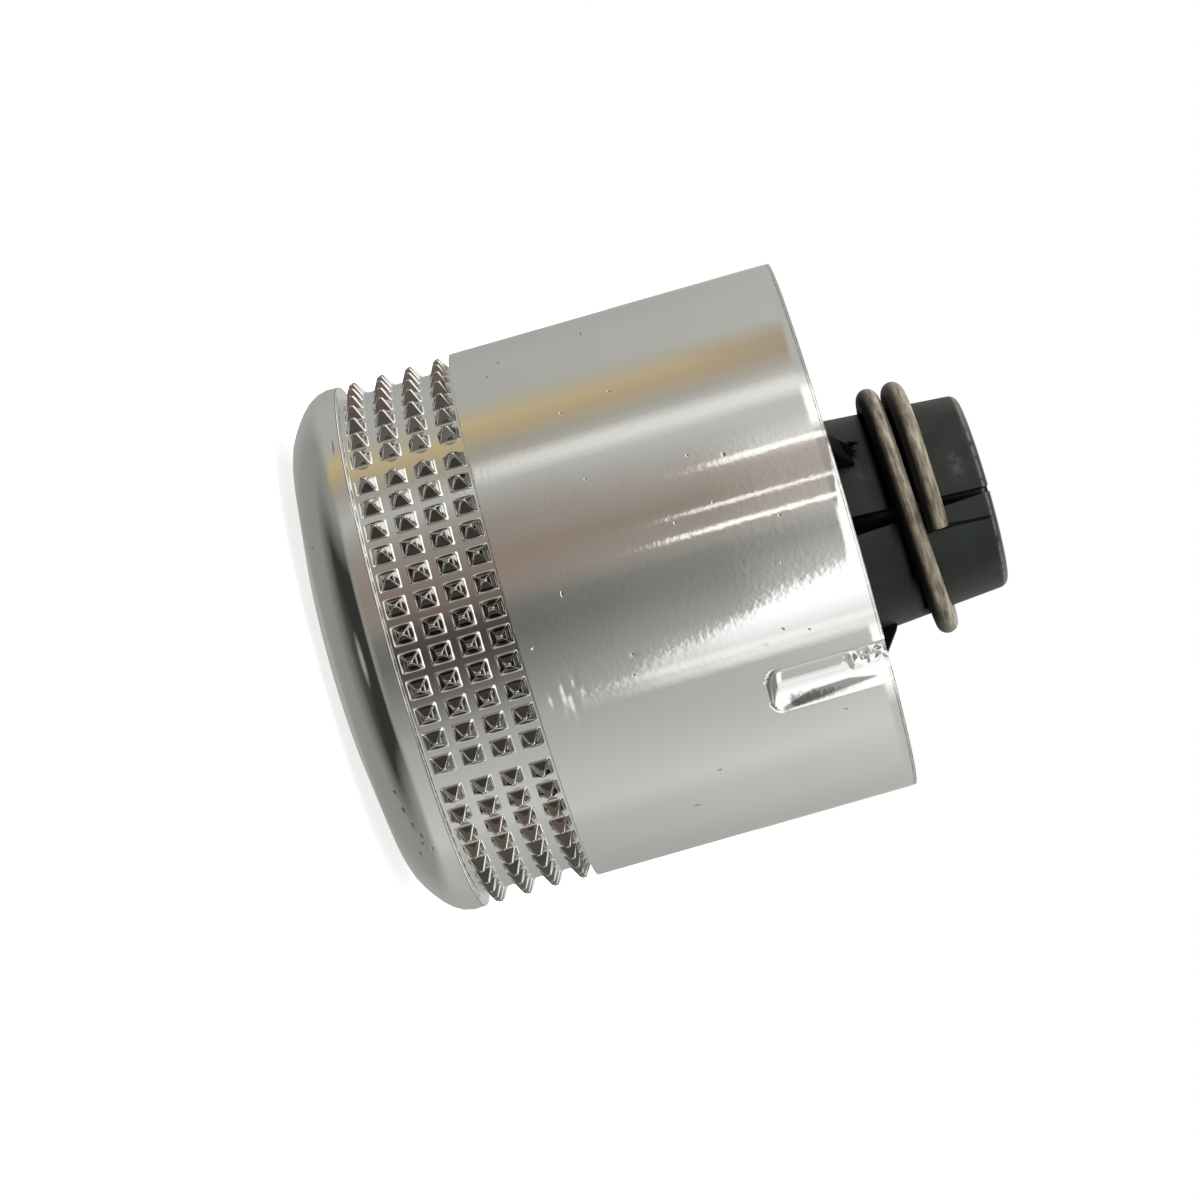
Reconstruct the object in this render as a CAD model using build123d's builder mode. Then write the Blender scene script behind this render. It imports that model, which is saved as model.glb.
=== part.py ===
"""Volume knob: a plated cap with a diamond-knurled grip band, and a plastic hub that pushes onto a 6 mm shaft.

Three pieces make the knob. The shell is one moulding: front face, knurled band, and plain skirt with a
pointer notch. The hub is pressed into it from behind: a disc, three gussets and a split collet with a
blind bore. The spring ring is a wire of a turn and a half that squeezes the collet onto the shaft.

Millimetres. The origin is the centre of the front face. +Z runs along the shaft's axis, from the front
face to the mouth of the collet, and the pointer notch faces -Y.
"""

import os
from math import cos, degrees, pi, radians, sin, tan

from build123d import *

# ---------------------------------------------------------------- shell
skirt_radius = 12.5
skirt_length = 15.2
skirt_wall = 1.2
rim_chamfer = 0.1

front_step = 0.05  # the front edge and the teeth lie this much below the skirt
front_flat_radius = 6.0  # the flat in the middle of the front face
front_slope = 9.2  # degrees: the face falls away around the flat
edge_round = 2.65
edge_chords = 6  # the rounded edge is drawn in this many short cones, so that its mesh stays small
edge_land = 0.08  # straight side between the rounded edge and the band
front_wall = 1.7
inner_chamfer = 1.0
seat_width = 0.6  # the step inside the skirt that the hub's disc rests on

# ---------------------------------------------------------------- knurled band
segments = 5  # the band is moulded by five slides
teeth_per_segment = 12
tooth_rows = 4
row_pitch = 1.333
row_gap = 0.283  # between the feet of two rows
row_lead = 0.15  # bare floor in front of the first row
row_tail = 0.10  # bare floor behind the last row
tooth_gap = 0.25  # between the feet of two teeth side by side
seam_gap = 0.65  # between the feet of two teeth where two segments meet
tooth_height = 0.6
tooth_top = 0.32  # the small flat that a tooth ends in
tooth_root = 0.05  # how far a tooth's foot is sunk in the floor

# ---------------------------------------------------------------- pointer notch
notch_length = 5.54
notch_width = 2.3
notch_depth = 0.58
notch_nose_chamfer = 0.35
pointer_angle = -90.0

# ---------------------------------------------------------------- hub
hub_recess = 4.0  # from the skirt's rim down to the disc
disc_thickness = 2.0
disc_clearance = 0.05  # around the disc, in the skirt
collet_radius = 5.1
collet_reach = 6.73  # how far the collet stands out of the skirt
collet_taper = 4.6  # degrees: the ring squeezes the collet together
collet_chamfer = 0.4
bore_radius = 3.0
bore_chamfer = 0.35
slot_width_foot = 1.1
slot_width_mouth = 0.25
slot_floor_height = 2.0  # above the disc
slot_angle = -30.0  # from the pointer
gusset_count = 3
gusset_angle = 171.6  # of the first gusset, from the pointer
gusset_thickness = 1.2
gusset_rise = 1.2  # at the collet, above the skirt's rim
gusset_foot = 0.85  # at the skirt's wall, above the disc
gusset_clearance = 0.15  # to the skirt's wall

# ---------------------------------------------------------------- spring ring
wire_diameter = 1.0
wire_sides = 12  # the round wire is drawn as a bar with many sides, for the same reason
ring_clearance = 0.06  # between the wire and the collet
ring_first_turn = 2.75  # from the skirt's rim to the middle of the first turn
ring_gap = 0.2  # between the two turns
ring_start_angle = -230.0  # angles from the pointer
ring_end_angle = 344.5
ring_cross_start = -70.0  # the wire crosses from the first turn to the second
ring_cross_end = 150.0
ring_step = 12.5

# ---------------------------------------------------------------- worked out from these
front_radius = skirt_radius - front_step
face_drop = (front_radius - front_flat_radius) * tan(radians(front_slope))
edge_turn = 90 - front_slope
edge_length = edge_round * tan(radians(edge_turn / 2))
edge_z = face_drop + edge_length
edge_middle_radius = front_radius - edge_round

band_z = edge_z + edge_land
tooth_length = row_pitch - row_gap
band_length = row_lead + tooth_rows * row_pitch - row_gap + row_tail
floor_radius = front_radius - tooth_height
segment_angle = 360 / segments
seam_angle = degrees(seam_gap / floor_radius)
gap_angle = degrees(tooth_gap / floor_radius)
width_angle = (segment_angle - seam_angle + gap_angle) / teeth_per_segment - gap_angle
tooth_width = radians(width_angle) * floor_radius
tooth_angle = width_angle + gap_angle
first_tooth_angle = pointer_angle + (seam_angle + width_angle) / 2

skirt_z = band_z + band_length
rim_z = skirt_z + skirt_length
skirt_inner_radius = skirt_radius - skirt_wall
front_inner_radius = skirt_inner_radius - seat_width

disc_top_z = rim_z - hub_recess
disc_seat_z = disc_top_z - disc_thickness
collet_end_z = rim_z + collet_reach
collet_end_radius = collet_radius - collet_reach * tan(radians(collet_taper))


def edge_points():
    """The rounded edge of the front, from the sloping face round to the side."""
    points = []
    for step in range(edge_chords + 1):
        turn = radians(front_slope + edge_turn * step / edge_chords)
        points.append((edge_middle_radius + edge_round * sin(turn), edge_z - edge_round * cos(turn)))
    return points


def floor_corners():
    """The floor of the band seen along the axis: one flat under every column of teeth, one at every seam."""
    corner_radius = floor_radius / cos(radians(tooth_angle / 2))
    corners = []
    for segment in range(segments):
        for column in range(teeth_per_segment + 1):
            turn = radians(first_tooth_angle + segment * segment_angle + (column - 0.5) * tooth_angle)
            corners.append((corner_radius * cos(turn), corner_radius * sin(turn)))
    return corners


def tooth_planes():
    """A plane at the foot of every tooth: x along the axis, y outwards, z around the band."""
    foot_radius = floor_radius - tooth_root
    planes = []
    for segment in range(segments):
        for column in range(teeth_per_segment):
            turn = radians(first_tooth_angle + segment * segment_angle + column * tooth_angle)
            around = (-sin(turn), cos(turn), 0)
            for row in range(tooth_rows):
                middle = band_z + row_lead + tooth_length / 2 + row * row_pitch
                foot = (foot_radius * cos(turn), foot_radius * sin(turn), middle)
                planes.append(Plane(origin=foot, x_dir=(0, 0, 1), z_dir=around))
    return planes


# ================================================================ shell
# The form of the pointer notch: a round bar with a blunt nose, lying along the skirt.
notch_cutter_radius = (notch_width / 2) ** 2 / (2 * notch_depth) + notch_depth / 2
notch_axis_radius = skirt_radius - notch_depth + notch_cutter_radius
with BuildPart() as notch_cutter:
    with Locations((0, 0, rim_z - notch_length)):
        Cylinder(notch_cutter_radius, 2 * notch_length, align=(Align.CENTER, Align.CENTER, Align.MIN))
    nose = notch_cutter.edges().filter_by(GeomType.CIRCLE).sort_by(Axis.Z)[0]
    chamfer(nose, notch_nose_chamfer)

# One section turned about the axis gives the front, the skirt and the stepped hollow.
with BuildPart() as shell:
    with BuildSketch(Plane.XZ) as section:
        with BuildLine():
            Polyline(
                (0, 0),
                (front_flat_radius, 0),
                *edge_points(),
                (front_radius, skirt_z),
                (skirt_radius, skirt_z),
                (skirt_radius, rim_z),
                (skirt_inner_radius, rim_z),
                (skirt_inner_radius, disc_seat_z),
                (front_inner_radius, disc_seat_z),
                (front_inner_radius, front_wall),
                (0, front_wall),
                close=True,
            )
        make_face()
        rim_corner = section.vertices().sort_by_distance((skirt_radius, rim_z))[0]
        chamfer(rim_corner, rim_chamfer)
        inner_corner = section.vertices().sort_by_distance((front_inner_radius, front_wall))[0]
        chamfer(inner_corner, inner_chamfer)
    revolve(axis=Axis.Z)

    # The band is taken down to a many-sided floor.
    with BuildSketch(Plane.XY.offset(band_z)):
        Circle(front_radius + 2 * front_step)
        Polygon(*floor_corners(), align=None, mode=Mode.SUBTRACT)
    extrude(amount=band_length, mode=Mode.SUBTRACT)

    # Every tooth is a short pyramid with a flat top, and all of them are set on the floor at once.
    tooth_depth = tooth_height + tooth_root
    length_run = (tooth_length - tooth_top) / 2 * tooth_depth / tooth_height
    width_run = (tooth_width - tooth_top) / 2 * tooth_depth / tooth_height
    with Locations(*tooth_planes()):
        Wedge(
            tooth_top + 2 * length_run,
            tooth_depth,
            tooth_top + 2 * width_run,
            length_run,
            width_run,
            length_run + tooth_top,
            width_run + tooth_top,
            align=(Align.CENTER, Align.MIN, Align.CENTER),
        )

    # The pointer notch is open at the rim.
    with PolarLocations(notch_axis_radius, 1, start_angle=pointer_angle):
        add(notch_cutter.part, mode=Mode.SUBTRACT)

shell.part.label = "shell"

# ================================================================ hub
# The disc closes the skirt, and the collet stands on it around the blind bore.
with BuildPart() as hub:
    with BuildSketch(Plane.XZ):
        with BuildLine():
            Polyline(
                (0, disc_seat_z),
                (skirt_inner_radius - disc_clearance, disc_seat_z),
                (skirt_inner_radius - disc_clearance, disc_top_z),
                (collet_radius, disc_top_z),
                (collet_radius, rim_z),
                (collet_end_radius, collet_end_z),
                (bore_radius, collet_end_z),
                (bore_radius, disc_top_z),
                (0, disc_top_z),
                close=True,
            )
        make_face()
    revolve(axis=Axis.Z)
    mouth_wall = collet_end_radius - bore_radius
    mouth = hub.edges().filter_by(GeomType.CIRCLE).group_by(Axis.Z)[-1].sort_by(SortBy.RADIUS)
    chamfer(mouth[-1], min(collet_chamfer, mouth_wall / 3))
    chamfer(mouth[0], min(bore_chamfer, mouth_wall / 3))

    # Three gussets brace the collet against the disc.
    gusset_outer_radius = skirt_inner_radius - gusset_clearance
    gusset_root_radius = (bore_radius + collet_radius) / 2
    gusset_root_z = disc_top_z - disc_thickness / 2
    for index in range(gusset_count):
        turn = pointer_angle + gusset_angle + index * 360 / gusset_count
        with BuildSketch(Plane.XZ.rotated((0, 0, turn))):
            Polygon(
                (gusset_root_radius, gusset_root_z),
                (gusset_outer_radius, gusset_root_z),
                (gusset_outer_radius, disc_top_z + gusset_foot),
                (collet_radius, rim_z + gusset_rise),
                (gusset_root_radius, rim_z + gusset_rise),
                align=None,
            )
        extrude(amount=gusset_thickness / 2, both=True)

    # One slot down the collet's side lets it close on the shaft. It narrows where the ring squeezes it.
    slot_turn = radians(pointer_angle + slot_angle)
    slot_height = collet_end_z - disc_top_z - slot_floor_height
    slot_plane = Plane(
        origin=(0, 0, disc_top_z + slot_floor_height),
        x_dir=(-sin(slot_turn), cos(slot_turn), 0),
        z_dir=(cos(slot_turn), sin(slot_turn), 0),
    )
    with BuildSketch(slot_plane):
        Polygon(
            (-slot_width_foot / 2, 0),
            (slot_width_foot / 2, 0),
            (slot_width_mouth / 2, slot_height),
            (-slot_width_mouth / 2, slot_height),
            align=None,
        )
    extrude(amount=2 * collet_radius, mode=Mode.SUBTRACT)

hub.part.label = "hub"

# ================================================================ spring ring
ring_first_z = rim_z + ring_first_turn
ring_rise = wire_diameter + ring_gap
collet_radius_at_ring = collet_radius - (ring_first_turn - wire_diameter / 2) * tan(radians(collet_taper))
ring_radius = collet_radius_at_ring + ring_clearance + wire_diameter / 2


def ring_point(angle):
    """The wire's middle: two flat turns, with a smooth crossing between them."""
    crossed = (angle - ring_cross_start) / (ring_cross_end - ring_cross_start)
    crossed = min(max(crossed, 0), 1)
    turn = radians(pointer_angle + angle)
    rise = ring_rise * (1 - cos(pi * crossed)) / 2
    return (ring_radius * cos(turn), ring_radius * sin(turn), ring_first_z + rise)


ring_sweep = ring_end_angle - ring_start_angle
ring_steps = round(ring_sweep / ring_step)
ring_points = [ring_point(ring_start_angle + ring_sweep * step / ring_steps) for step in range(ring_steps + 1)]

with BuildPart() as spring_ring:
    with BuildLine():
        wire_path = Polyline(*ring_points)
    with BuildSketch(Plane(origin=wire_path @ 0, z_dir=wire_path % 0)):
        RegularPolygon(wire_diameter / 2, wire_sides)
    sweep(transition=Transition.RIGHT)

spring_ring.part.label = "spring_ring"

# ================================================================ files
os.makedirs("parts", exist_ok=True)
export_step(shell.part, "parts/shell.step")
export_step(hub.part, "parts/hub.step")
export_step(spring_ring.part, "parts/spring_ring.step")

print(f"knob: {2 * skirt_radius:.1f} mm across, {collet_end_z:.2f} mm long, skirt's rim at {rim_z:.2f} mm")
print(f"wire: {wire_path.length:.1f} mm long")
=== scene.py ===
# %% [markdown]
# # A volume knob
# The knob is three pieces: a plated shell with a knurled grip band, a black plastic hub that pushes onto a
# shaft, and a spring ring that squeezes the hub's collet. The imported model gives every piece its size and
# place. This lesson works out each one's surface, with the rounded edges that catch the light, and gives it
# a finish.

import bpy
import numpy as np
from mathutils import Matrix, Vector


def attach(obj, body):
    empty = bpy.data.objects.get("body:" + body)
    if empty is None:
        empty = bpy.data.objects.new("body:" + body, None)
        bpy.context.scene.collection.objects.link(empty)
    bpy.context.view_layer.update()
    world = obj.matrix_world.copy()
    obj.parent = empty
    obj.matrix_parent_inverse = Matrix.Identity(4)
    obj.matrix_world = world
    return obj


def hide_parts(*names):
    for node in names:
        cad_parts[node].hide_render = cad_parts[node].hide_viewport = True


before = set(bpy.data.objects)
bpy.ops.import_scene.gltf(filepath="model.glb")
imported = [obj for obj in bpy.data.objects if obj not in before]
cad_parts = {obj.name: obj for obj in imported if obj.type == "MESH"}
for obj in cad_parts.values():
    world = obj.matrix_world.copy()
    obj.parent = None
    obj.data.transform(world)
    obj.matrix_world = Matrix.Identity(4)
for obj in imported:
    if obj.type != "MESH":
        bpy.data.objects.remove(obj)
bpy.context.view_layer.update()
MM = 0.001

# %% [markdown]
# ## Sizes
# The knob was drawn in millimetres from the middle of its front face, with Z along the shaft. The same
# sizes are set down here once, and every surface below is worked out from them. Lengths end in R for a
# radius and in Z for a height. FACING is the side that the camera looks at. Marks such as dents are placed
# by their angle from there in degrees and their height.

# %% Sizes of the shell
POINTER = np.radians(-90.0)
FACING = np.radians(-120.2)
SKIRT_R, SKIRT_Z, RIM_Z = 12.5, 8.68, 23.879
SKIRT_INNER_R, SEAT_Z, DISC_TOP_Z = 11.3, 17.879, 19.879
FRONT_R, FRONT_FLAT_R, FRONT_FALL, EDGE_ROUND = 12.45, 6.0, 1.0447, 2.65
BAND_Z, FLOOR_R = 3.381, 11.85
HOLLOW_R, HOLLOW_Z = 10.7, 1.7
print("skirt from", SKIRT_Z, "to", RIM_Z, "mm; band from", BAND_Z)

# %% Sizes of the hub and the spring ring
DISC_R, BORE_R, COLLET_R, COLLET_END_R, COLLET_END_Z = 11.25, 3.0, 5.1, 4.5585, 30.609
COLLET_ROOT_Z, SLOT_FLOOR_Z = 21.6, DISC_TOP_Z + 2.0
SLOT_TURN = POINTER + np.radians(-30.0)
OFF_CENTRE = 0.25
WIRE_R, RING_R, RING_GAP, RING_LIFT = 0.5, 5.46, 0.2, 2.75
WIRE_SIDES, SIDE_WIDTH = 24, 0.131
print("collet from", SLOT_FLOOR_Z, "to", COLLET_END_Z, "mm")

# %% [markdown]
# ## Turning a profile
# The shell, the hub's disc and the collet are round. Blender's Screw or Spin could sweep their outlines, but
# the notch and the dents change the radius from place to place, so the points are worked out instead. Every
# corner of an outline gets a small arc, because a real edge is never sharp, and it is that arc which catches
# the light. Two extra points beside each arc keep the smooth shading from spreading over the flat.

# %% A profile with rounded corners
HOLD = 0.05


def rounded_profile(corners, steps=5):
    """Points (r, z) along straight runs between corners (r, z, rounding), in mm.

    A corner with rounding q starts its arc at q / tan(half the inner angle) from the corner. The points of
    the arc are its centre plus the first spoke, turned evenly up to the last spoke.
    """
    corners = [np.array(c, float) for c in corners]
    points = [corners[0][:2]]
    for before, corner, after in zip(corners, corners[1:], corners[2:]):
        p, q = corner[:2], corner[2]
        a = (before[:2] - p) / np.linalg.norm(before[:2] - p)
        b = (after[:2] - p) / np.linalg.norm(after[:2] - p)
        half = np.arccos(np.clip(a @ b, -1, 1)) / 2
        if q == 0:
            points.append(p)
            continue
        reach = q / np.tan(half)
        centre = p + (a + b) / np.linalg.norm(a + b) * q / np.sin(half)
        start, end = p + a * reach - centre, p + b * reach - centre
        turn = np.arctan2(start[0] * end[1] - start[1] * end[0], start @ end)
        t = np.linspace(0, turn, steps + 1)[:, None]
        across = np.array([-start[1], start[0]])
        arc = centre + start * np.cos(t) + across * np.sin(t)
        points += [p + a * (reach + HOLD), *arc, p + b * (reach + HOLD)]
    points.append(corners[-1][:2])
    return np.array(points)


def densify(points, z_low, z_high, step, r_low=0.0):
    """The profile, its runs between z_low and z_high and beyond r_low cut into lengths of step."""
    out = [points[0]]
    for a, b in zip(points, points[1:]):
        inside = max(a[1], b[1]) > z_low and min(a[1], b[1]) < z_high and min(a[0], b[0]) > r_low
        pieces = max(1, int(np.ceil(abs(b[1] - a[1]) / step))) if inside else 1
        t = np.arange(1, pieces + 1)[:, None] / pieces
        out += list(a + (b - a) * t)
    return np.array(out)


print("helpers:", rounded_profile.__name__, densify.__name__)


# %% Faces of a grid, and a profile turned about Z
def grid_faces(rows, columns, wrap_rows=False, wrap_columns=False):
    """Four-sided faces of a rows x columns grid of points, numbered row by row."""
    i = np.arange(rows if wrap_rows else rows - 1)[:, None]
    j = np.arange(columns if wrap_columns else columns - 1)[None, :]
    i2, j2 = (i + 1) % rows, (j + 1) % columns
    corners = [i * columns + j, i2 * columns + j, i2 * columns + j2, i * columns + j2]
    return np.stack([np.broadcast_to(c, (len(i), j.shape[1])).ravel() for c in corners], axis=1)


def around_z(r, a, z):
    """Points (r cos a, r sin a, z), from numbers or arrays whose shapes fit together."""
    return np.stack(np.broadcast_arrays(r * np.cos(a), r * np.sin(a), z), axis=-1)


def turned(profile, angles, radius=None):
    """Points and faces of a profile turned about Z, closed at the axis where it starts and ends there.

    radius gives r for every angle and profile point, where it isn't the profile's own all the way round.
    """
    r = profile[:, 0] if radius is None else radius
    points = around_z(r, angles[:, None], profile[:, 1]).reshape(-1, 3)
    return points, list(grid_faces(len(angles), len(profile), wrap_rows=True))


print("a small grid has faces", grid_faces(2, 3).tolist())


# %% A piece from arrays, and its dirt and painted shade
def make_piece(name, points, faces, node, slot_name):
    """A smooth mesh object from points in mm and a list of faces, standing for a node of the frame."""
    mesh = bpy.data.meshes.new(name)
    mesh.from_pydata(np.asarray(points, float) * MM, [], [list(map(int, f)) for f in faces])
    mesh.validate()
    mesh.shade_smooth()
    piece = bpy.data.objects.new(name, mesh)
    bpy.context.collection.objects.link(piece)
    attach(piece, "root")
    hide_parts(node)
    print(name, "has", len(mesh.vertices), "points and", len(mesh.polygons), "faces")
    return piece


def paint_dirt_and_shade(piece, amounts):
    """Store how much dirt and painted shade each point of a piece has, from 0 to 1, for its finish to read.
    """
    dirt_and_shade = piece.data.attributes.new("dirt_and_shade", "FLOAT", "POINT")
    dirt_and_shade.data.foreach_set("value", np.asarray(amounts, np.float32))


print("helpers:", make_piece.__name__, paint_dirt_and_shade.__name__)

# %% [markdown]
# ## The shell
# The shell is one moulding: a front face that falls away slightly, a rounded edge, the floor of the grip
# band, the skirt, and the hollow inside. It is one closed outline turned about the axis.

# %% The shell's profile
shell_corners = [
    (0, 0, 0),
    (FRONT_FLAT_R, 0, 8),
    (FRONT_R, FRONT_FALL, EDGE_ROUND),
    (FRONT_R, BAND_Z, 0.05),
    (FLOOR_R, BAND_Z, 0.05),
    (FLOOR_R, SKIRT_Z, 0.04),
    (SKIRT_R, SKIRT_Z, 0.05),
    (SKIRT_R, RIM_Z - 0.3, 8),
    (SKIRT_R - 0.022, RIM_Z, 0.06),
    (SKIRT_INNER_R, RIM_Z, 0.1),
    (SKIRT_INNER_R, SEAT_Z, 0.05),
    (HOLLOW_R, SEAT_Z, 0.05),
    (HOLLOW_R, HOLLOW_Z, 1.0),
    (0, HOLLOW_Z, 0),
]
shell_profile = rounded_profile(shell_corners, steps=8)
shell_profile = densify(shell_profile, SKIRT_Z, RIM_Z, 0.1, 12.0)

# The front's rounded edge is a little fuller near the side and flatter near the face than a plain arc. With
# s the share of the arc from its start, a point moves in or out by 0.085 sin(2 pi s^1.2).
EDGE_START, EDGE_SWING = np.radians(9.2), 0.085
r, z = shell_profile.T
on_edge = (r > 10.0) & (z > 0) & (z < BAND_Z - 0.1)
turn = np.arctan2(r - (FRONT_R - EDGE_ROUND), BAND_Z - 0.08 - z)
share = np.clip((turn - EDGE_START) / (np.pi / 2 - EDGE_START), 0, 1)
fuller = np.where(on_edge, -EDGE_SWING * np.sin(2 * np.pi * share**1.2), 0)
shell_profile = np.stack([r + fuller * np.sin(turn), z - fuller * np.cos(turn)], axis=1)
print("the profile has", len(shell_profile), "points")

# %% [markdown]
# ## The notch and the marks on the skirt
# The pointer is a round-nosed groove in the skirt, with a sloped floor and one steep wall. A Boolean could
# cut it, but would leave a knife-sharp lip. Here the skirt's radius is made less by the groove's depth, so
# its edges stay eased. The dents and the torn stretch near the rim are made the same way.

# %% The pointer notch, as a change of radius
NOTCH_LENGTH, NOTCH_WIDTH, NOTCH_DEPTH, NOTCH_NOSE = 5.42, 2.28, 0.57, 0.75
NOTCH_LOWEST, NOTCH_EASE = 0.55, 0.07


def notch_depth(angles, z):
    """How far the notch lies below the skirt, in mm.

    With a = the distance from the groove's middle line over half its width, the floor slopes as
    1 - ((a + m) / (1 + m))^2, lowest at a = -m. Beyond that a steep wall rises as sqrt(1 - w^2.4), w being
    the share of the wall climbed. The nose closes it with sqrt(1 - b^2.6), b being the share of the nose,
    which starts 0.42 |a|^3 later at its sides. The lip is eased with sqrt(d^2 + k^2) - k.
    """
    a = np.clip(SKIRT_R * (angles - POINTER) / (NOTCH_WIDTH / 2), -1, 1)
    nose_start = RIM_Z - NOTCH_LENGTH + NOTCH_NOSE + 0.42 * np.abs(a) ** 3
    b = np.clip((nose_start - z) / NOTCH_NOSE, 0, 1)
    slope = 1 - ((a + NOTCH_LOWEST) / (1 + NOTCH_LOWEST)) ** 2
    wall = np.clip((-NOTCH_LOWEST - a) / (1 - NOTCH_LOWEST), 0, 1)
    depth = NOTCH_DEPTH * slope * np.sqrt(1 - wall**2.4) * np.sqrt(1 - b**2.6)
    return np.sqrt(depth**2 + NOTCH_EASE**2) - NOTCH_EASE


print("notch depth near the rim:", notch_depth(POINTER, RIM_Z - 2).round(3), "mm")

# %% The dents
# Each dent: angle from the side that the camera looks at, z, half sizes round the knob and along it, depth.
DENT_STRENGTH = 0.85
DENTS = np.array([
    (16.6, 10.05, 0.36, 0.10, 0.0055), (20.3, 10.3, 0.60, 0.10, 0.0065), (23.3, 10.35, 0.30, 0.09, 0.005),
    (18.0, 9.45, 0.34, 0.09, 0.004), (15.5, 10.6, 0.34, 0.09, 0.004), (22.0, 9.95, 0.30, 0.08, 0.004),
    (17.9, 10.9, 0.24, 0.08, 0.003), (6.2, 9.3, 0.15, 0.10, 0.003), (19.0, 9.85, 0.40, 0.08, -0.003),
    (13.5, 13.35, 0.12, 0.10, 0.004), (19.4, 18.8, 0.14, 0.14, 0.004),
])


def dent_depth(angles, z):
    """The sum of depth * exp(-(a^2 + b^2)) over the dents; a and b are the distances over the half sizes."""
    total = np.zeros(np.broadcast(angles, z).shape)
    for angle, at, around, along, depth in DENTS:
        a = SKIRT_R * (angles - FACING - np.radians(angle)) / around
        total += DENT_STRENGTH * depth * np.exp(-(a**2) - ((z - at) / along) ** 2)
    return total


print("dents:", len(DENTS))


# %% The torn part of the notch
def lattice_noise(u, v, size, seed):
    """Smooth noise from -1 to 1: random values on a lattice, blended by 3 t^2 - 2 t^3 between them."""
    values = np.random.default_rng(seed).uniform(-1, 1, (64, 64))
    u, v = np.asarray(u) / size, np.asarray(v) / size
    i, j = np.floor(u).astype(int), np.floor(v).astype(int)
    s, t = ((k - np.floor(k)) ** 2 * (3 - 2 * (k - np.floor(k))) for k in (u, v))
    low = values[i % 64, j % 64] * (1 - s) + values[(i + 1) % 64, j % 64] * s
    high = values[i % 64, (j + 1) % 64] * (1 - s) + values[(i + 1) % 64, (j + 1) % 64] * s
    return low * (1 - t) + high * t


def bruise_depth(angles, z):
    """The torn upper side of the notch near the rim: 0.07 mm of coarse noise and 0.03 mm of fine noise.

    Across the groove it fades as exp(-x^2), with x = (s + 0.42) / 0.36 and s the distance in mm from the
    middle line. Along it, it sets in between z = 21.9 and 22.4.
    """
    s, z = np.broadcast_arrays(SKIRT_R * (angles - POINTER), z)
    ragged = 0.07 * lattice_noise(s, z, 0.26, seed=3) + 0.03 * lattice_noise(s, z, 0.13, seed=8)
    return ragged * np.exp(-(((s + 0.42) / 0.36) ** 2)) * np.clip((z - 21.9) / 0.5, 0, 1)


print("noise at one place:", lattice_noise(0.1, 0.2, 0.26, seed=3).round(2))


# %% Columns of points round the shell
def past(start, angles):
    """How far the angles lie past a start, each within half a turn of it."""
    return (angles - start + np.pi) % (2 * np.pi) - np.pi


# They stand 1.5 degrees apart, and 0.25 degrees apart where the notch and the dents are.
coarse = np.radians(np.arange(0, 360, 1.5))
fine = POINTER + np.radians(np.arange(-19.0, 6.51, 0.25))
middle = POINTER + np.radians(-6.25)
away = np.abs(past(middle, coarse)) > np.radians(13.4)
shell_angles = np.unique(np.round(np.concatenate([coarse[away], fine % (2 * np.pi)]), 9))
print("columns round the shell:", len(shell_angles))

# %% Turn the shell
r, z = shell_profile.T
outside = np.where((z > SKIRT_Z + 0.5) & (r > SKIRT_R - 0.25), 1.0, 0.0)
on_rim = (z > RIM_Z - 0.01) & (r < SKIRT_R - 0.15)
outside = np.where(on_rim, np.clip((r - SKIRT_INNER_R - 0.1) / 0.9, 0, 1), outside)
offset = past(POINTER, shell_angles[:, None]) + POINTER
marks = notch_depth(offset, z[None, :]) + dent_depth(offset, z[None, :])
marks += np.where(np.abs(offset - POINTER) < 0.2, bruise_depth(offset, z[None, :]), 0)
shell_radius = r[None, :] - outside[None, :] * marks
points, faces = turned(shell_profile, shell_angles, shell_radius)
shell = make_piece("cap", points, faces, "shell", "plating")

# %% [markdown]
# ## Darkening on the shell
# The band's floor is painted darker, most of all on the side that faces the camera, and a painted shade lies
# along the lower side of the notch. It could be painted into an image, but a number stored on every point
# does the same and needs no file. The finish reads it further down.

# %% Where the darkening lies
WEDGE_START, WEDGE_END, WEDGE_SOFT = 18.85, 23.3, 0.006
# The band's floor is painted darker, most of all on the side that faces the camera.
toward_camera = np.exp(-(((offset - FACING - np.radians(3)) / np.radians(14)) ** 2))
on_floor = (r < FLOOR_R + 0.06) & (z > BAND_Z - 0.1) & (z < SKIRT_Z + 0.1)
band_darkening = np.where(on_floor[None, :], 0.84 * toward_camera, 0)

# The notch's painted shade is a wedge, broad in the middle and thin at the rim: its width in degrees by its
# height.
low_edge = np.radians(35.1 - 0.36 * (z - WEDGE_START))[None, :]
wedge_width = np.radians(np.interp(z, [WEDGE_START, 20.3, 22.0, WEDGE_END], [1.0, 2.3, 1.9, 0.4]))[None, :]
above_wedge = np.clip((offset - FACING - low_edge + wedge_width) / WEDGE_SOFT, 0, 1)
in_wedge = above_wedge * np.clip((low_edge - offset + FACING) / WEDGE_SOFT, 0, 1)
along_wedge = np.clip((z - WEDGE_START) / 0.15, 0, 1) * np.clip((WEDGE_END - z) / 0.1, 0, 1)
along_wedge *= r > SKIRT_R - 0.3
# The shell's darkening: the band's floor and the notch's painted shade.
paint_dirt_and_shade(shell, np.maximum(band_darkening, 1.15 * in_wedge * along_wedge[None, :]).ravel())
print("points of the shell in the wedge:", int((in_wedge * along_wedge > 0.5).sum()))

# %% [markdown]
# ## The grip teeth
# Five slides moulded the band, each with twelve columns of four teeth, so the gap is wider where two
# segments meet. A tooth is a small pyramid: twelve-sided rings, each higher and narrower than the last, with
# the corners cut off so that the hips are narrow strips. The foot curves out of the floor. An Array modifier
# could repeat it, but one tooth worked out as an array becomes 240 by adding a second axis to it, and the
# wide gaps need no special care.

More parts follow.
